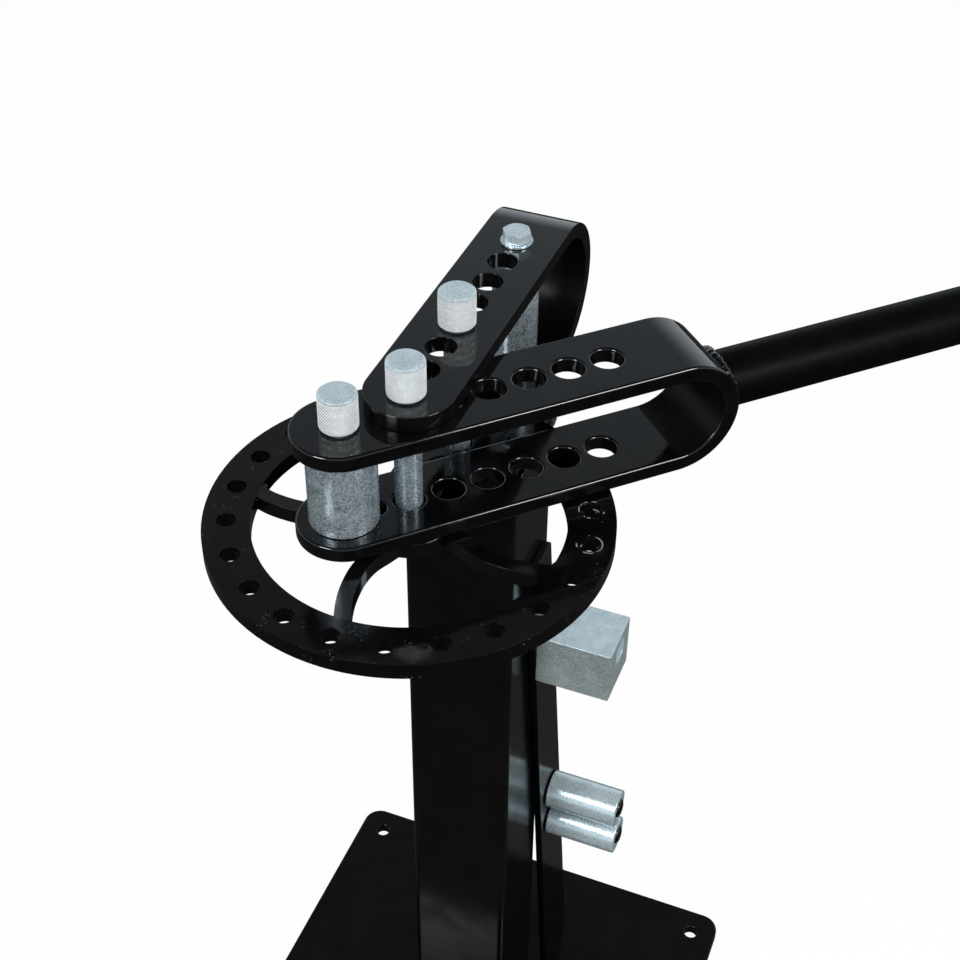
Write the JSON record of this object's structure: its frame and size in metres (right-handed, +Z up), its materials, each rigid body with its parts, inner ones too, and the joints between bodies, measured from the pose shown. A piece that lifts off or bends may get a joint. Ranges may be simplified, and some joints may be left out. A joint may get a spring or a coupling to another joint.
{
  "type": "flat bar bender",
  "caption": "Stand-mounted flat bar bender: a U-shaped frame bar on a post with a drilled index ring, and a long-handled swing arm with a roller and loose knurled pins.",
  "frame": {"origin": "on the floor under the arm's pivot axis, at the underside of the base plate", "axes": "+Z up along the pivot axis, +Y to the rear along the fixed frame bar, +X to the right, where the spare dies hang"},
  "size_m": [0.8611, 0.7986, 0.9302],
  "materials": {
    "black_enamel": "deep gloss black enamel, thin at the edges and chipped round the ring's holes",
    "zinc_plate": "bright zinc plate, mottled blue-grey, satin",
    "grip_rubber": "matt black ribbed rubber",
    "cap_plastic": "matt black plastic"
  },
  "bodies": {
    "stand": {"base_plate": "black_enamel", "post": "black_enamel", "post_head_plate": "black_enamel", "rear_leg_right": "black_enamel", "rear_leg_left": "black_enamel", "peg_square": "black_enamel", "peg_upper": "black_enamel", "peg_lower": "black_enamel", "fixed_frame": "black_enamel", "index_ring": "black_enamel", "ring_strut_right": "black_enamel", "ring_strut_left": "black_enamel", "ring_strut_front": "black_enamel", "frame_spacer": "zinc_plate", "frame_bolt": "zinc_plate", "frame_washer_top": "zinc_plate", "frame_washer_bottom": "zinc_plate", "frame_nut": "zinc_plate", "pivot_washer": "zinc_plate"},
    "arm": {"swing_arm": "black_enamel", "handle_tube": "black_enamel", "handle_grip": "grip_rubber", "handle_end_cap": "cap_plastic"},
    "roller": {"roller": "zinc_plate"},
    "pivot_pin": {"pivot_pin": "zinc_plate"},
    "anchor_pin": {"anchor_pin": "zinc_plate"},
    "roller_pin": {"roller_pin": "zinc_plate"},
    "square_die": {"square_die": "zinc_plate"},
    "round_die_upper": {"round_die_upper": "zinc_plate"},
    "round_die_lower": {"round_die_lower": "zinc_plate"}
  },
  "joints": [
    {"name": "arm_swing", "type": "hinge", "parent": "stand", "child": "arm", "pos_m": [0, 0, 0.8], "axis": [0, 0, 1], "range_deg": [-60, 13]},
    {"name": "roller_spin", "type": "hinge", "parent": "arm", "child": "roller", "pos_m": [-0.03264, -0.03298, 0.846], "axis": [0, 0, 1], "continuous": true},
    {"name": "pivot_pin_lift", "type": "slide", "parent": "stand", "child": "pivot_pin", "axis": [0, 0, 1], "range_m": [0, 0.13]},
    {"name": "anchor_pin_lift", "type": "slide", "parent": "stand", "child": "anchor_pin", "axis": [0, 0, 1], "range_m": [0, 0.12]},
    {"name": "roller_pin_lift", "type": "slide", "parent": "arm", "child": "roller_pin", "axis": [0, 0, 1], "range_m": [0, 0.095]},
    {"name": "square_die_pull", "type": "slide", "parent": "stand", "child": "square_die", "axis": [1, 0, 0], "range_m": [0, 0.075]},
    {"name": "round_die_upper_pull", "type": "slide", "parent": "stand", "child": "round_die_upper", "axis": [1, 0, 0], "range_m": [0, 0.075]},
    {"name": "round_die_lower_pull", "type": "slide", "parent": "stand", "child": "round_die_lower", "axis": [1, 0, 0], "range_m": [0, 0.075]}
  ]
}
